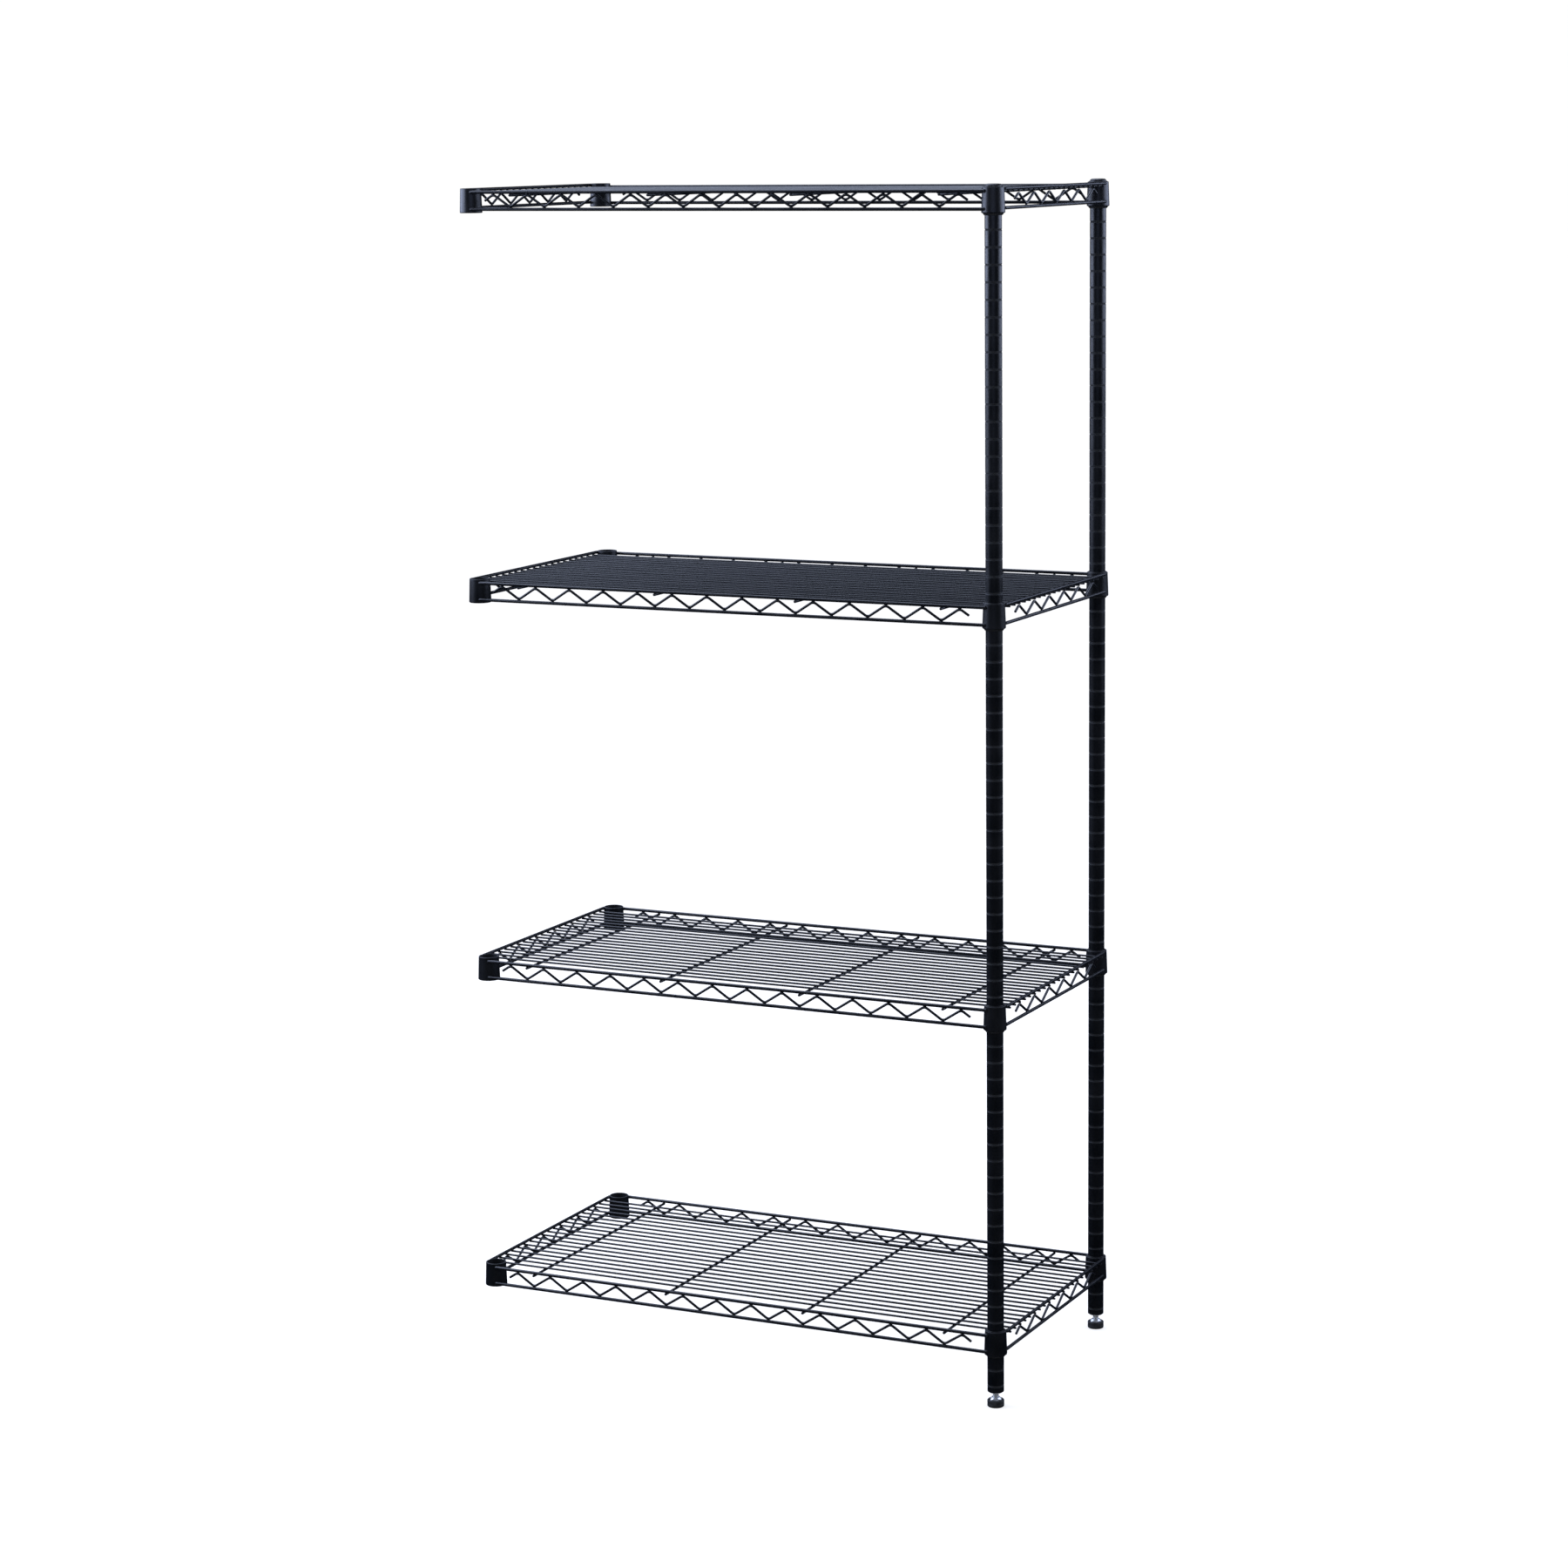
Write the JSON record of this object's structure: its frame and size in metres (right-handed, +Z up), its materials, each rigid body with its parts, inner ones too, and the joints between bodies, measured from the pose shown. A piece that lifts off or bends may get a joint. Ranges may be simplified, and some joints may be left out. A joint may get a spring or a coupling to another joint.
{
  "type": "wire shelving add-on bay",
  "caption": "Black wire shelving add-on bay: four wire shelves on two grooved posts at one end, with empty collars at the other end for hooking to another bay.",
  "frame": {"origin": "on the floor, in the middle of the footprint", "axes": "+X along the shelves towards the posts, -Y the front, +Z up"},
  "size_m": [0.9144, 0.4572, 1.8528],
  "materials": {
    "powder_coat": "satin",
    "cap_plastic": "satin",
    "sleeve_plastic": "matte",
    "zinc_plate": "satin",
    "pad_rubber": "matte"
  },
  "bodies": {
    "posts": {"foot_insert_front": "zinc_plate", "foot_insert_rear": "zinc_plate", "post_cap_front": "cap_plastic", "post_cap_rear": "cap_plastic", "post_front": "powder_coat", "post_rear": "powder_coat", "split_sleeves_front_1": "sleeve_plastic", "split_sleeves_front_2": "sleeve_plastic", "split_sleeves_front_3": "sleeve_plastic", "split_sleeves_front_4": "sleeve_plastic", "split_sleeves_rear_1": "sleeve_plastic", "split_sleeves_rear_2": "sleeve_plastic", "split_sleeves_rear_3": "sleeve_plastic", "split_sleeves_rear_4": "sleeve_plastic"},
    "shelf_1": {"collar_front_left_1": "powder_coat", "collar_front_right_1": "powder_coat", "collar_rear_left_1": "powder_coat", "collar_rear_right_1": "powder_coat", "cross_wires_1": "powder_coat", "mat_wires_1": "powder_coat", "truss_front_1": "powder_coat", "truss_left_1": "powder_coat", "truss_rear_1": "powder_coat", "truss_right_1": "powder_coat"},
    "shelf_2": {"collar_front_left_2": "powder_coat", "collar_front_right_2": "powder_coat", "collar_rear_left_2": "powder_coat", "collar_rear_right_2": "powder_coat", "cross_wires_2": "powder_coat", "mat_wires_2": "powder_coat", "truss_front_2": "powder_coat", "truss_left_2": "powder_coat", "truss_rear_2": "powder_coat", "truss_right_2": "powder_coat"},
    "shelf_3": {"collar_front_left_3": "powder_coat", "collar_front_right_3": "powder_coat", "collar_rear_left_3": "powder_coat", "collar_rear_right_3": "powder_coat", "cross_wires_3": "powder_coat", "mat_wires_3": "powder_coat", "truss_front_3": "powder_coat", "truss_left_3": "powder_coat", "truss_rear_3": "powder_coat", "truss_right_3": "powder_coat"},
    "shelf_4": {"collar_front_left_4": "powder_coat", "collar_front_right_4": "powder_coat", "collar_rear_left_4": "powder_coat", "collar_rear_right_4": "powder_coat", "cross_wires_4": "powder_coat", "mat_wires_4": "powder_coat", "truss_front_4": "powder_coat", "truss_left_4": "powder_coat", "truss_rear_4": "powder_coat", "truss_right_4": "powder_coat"},
    "foot_front": {"foot_pad_front": "pad_rubber"},
    "stem_front": {"foot_stem_front": "zinc_plate"},
    "foot_rear": {"foot_pad_rear": "pad_rubber"},
    "stem_rear": {"foot_stem_rear": "zinc_plate"}
  },
  "joints": [
    {"name": "lift_shelf_1", "type": "slide", "parent": "posts", "child": "shelf_1", "axis": [0, 0, 1], "range_m": [0, 0.08]},
    {"name": "lift_shelf_2", "type": "slide", "parent": "posts", "child": "shelf_2", "axis": [0, 0, 1], "range_m": [0, 0.566]},
    {"name": "lift_shelf_3", "type": "slide", "parent": "posts", "child": "shelf_3", "axis": [0, 0, 1], "range_m": [0, 0.566]},
    {"name": "lift_shelf_4", "type": "slide", "parent": "posts", "child": "shelf_4", "axis": [0, 0, 1], "range_m": [0, 0.465]},
    {"name": "level_foot_front", "type": "slide", "parent": "posts", "child": "foot_front", "axis": [0, 0, -1], "range_m": [-0.007, 0.018]},
    {"name": "turn_stem_front", "type": "hinge", "parent": "foot_front", "child": "stem_front", "pos_m": [0.4395, -0.2109, 0], "axis": [0, 0, -1], "range_deg": [-1589, 4084]},
    {"name": "level_foot_rear", "type": "slide", "parent": "posts", "child": "foot_rear", "axis": [0, 0, -1], "range_m": [-0.007, 0.018]},
    {"name": "turn_stem_rear", "type": "hinge", "parent": "foot_rear", "child": "stem_rear", "pos_m": [0.4395, 0.2109, 0], "axis": [0, 0, -1], "range_deg": [-1589, 4084]}
  ],
  "couplings": [
    {"joint": "turn_stem_front", "follows": "level_foot_front", "rad_per_m": 3957.9},
    {"joint": "turn_stem_rear", "follows": "level_foot_rear", "rad_per_m": 3957.9}
  ]
}
